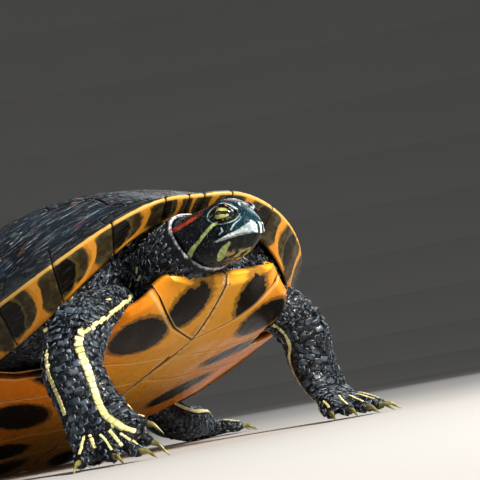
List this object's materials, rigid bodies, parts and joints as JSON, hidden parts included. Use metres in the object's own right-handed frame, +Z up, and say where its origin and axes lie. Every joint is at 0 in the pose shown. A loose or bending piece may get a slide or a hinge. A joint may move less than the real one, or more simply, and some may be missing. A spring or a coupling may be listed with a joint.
{
  "type": "turtle model",
  "caption": "Life-size still model of an adult red-eared slider: domed shell of separate scutes, yellow belly shell, propped up on its forelegs with the head half drawn in.",
  "frame": {"origin": "middle of the bounding box in plan, at ground level", "axes": "the animal faces -Y, its left side is +X and +Z is up"},
  "size_m": [0.2146, 0.2516, 0.1081],
  "materials": {
    "back_shell": "wet-looking horny scutes, almost black",
    "margin_shell": "horny scutes in yellow, olive and black",
    "belly_shell": "smooth yellow to orange horn with dark blotches",
    "skin": "wrinkled, scaly dark green skin with yellow stripes and a red patch behind each eye",
    "eye": "glossy wet eye"
  },
  "bodies": {
    "root": {"nuchal": "margin_shell", "marginals_left": "margin_shell", "marginals_right": "margin_shell", "vertebral_1": "back_shell", "vertebral_2": "back_shell", "vertebral_3": "back_shell", "vertebral_4": "back_shell", "vertebral_5": "back_shell", "costal_left_1": "back_shell", "costal_left_2": "back_shell", "costal_left_3": "back_shell", "costal_left_4": "back_shell", "costal_right_1": "back_shell", "costal_right_2": "back_shell", "costal_right_3": "back_shell", "costal_right_4": "back_shell", "gular_left": "belly_shell", "humeral_left": "belly_shell", "pectoral_left": "belly_shell", "abdominal_left": "belly_shell", "femoral_left": "belly_shell", "anal_left": "belly_shell", "gular_right": "belly_shell", "humeral_right": "belly_shell", "pectoral_right": "belly_shell", "abdominal_right": "belly_shell", "femoral_right": "belly_shell", "anal_right": "belly_shell", "trunk": "skin", "neck": "skin", "head": "skin", "lower_jaw": "skin", "eye_left": "eye", "eye_right": "eye", "upper_arm_left": "skin", "forearm_left": "skin", "forefoot_left": "skin", "thigh_left": "skin", "shank_left": "skin", "hindfoot_left": "skin", "upper_arm_right": "skin", "forearm_right": "skin", "forefoot_right": "skin", "thigh_right": "skin", "shank_right": "skin", "hindfoot_right": "skin", "tail": "skin"}
  },
  "joints": []
}
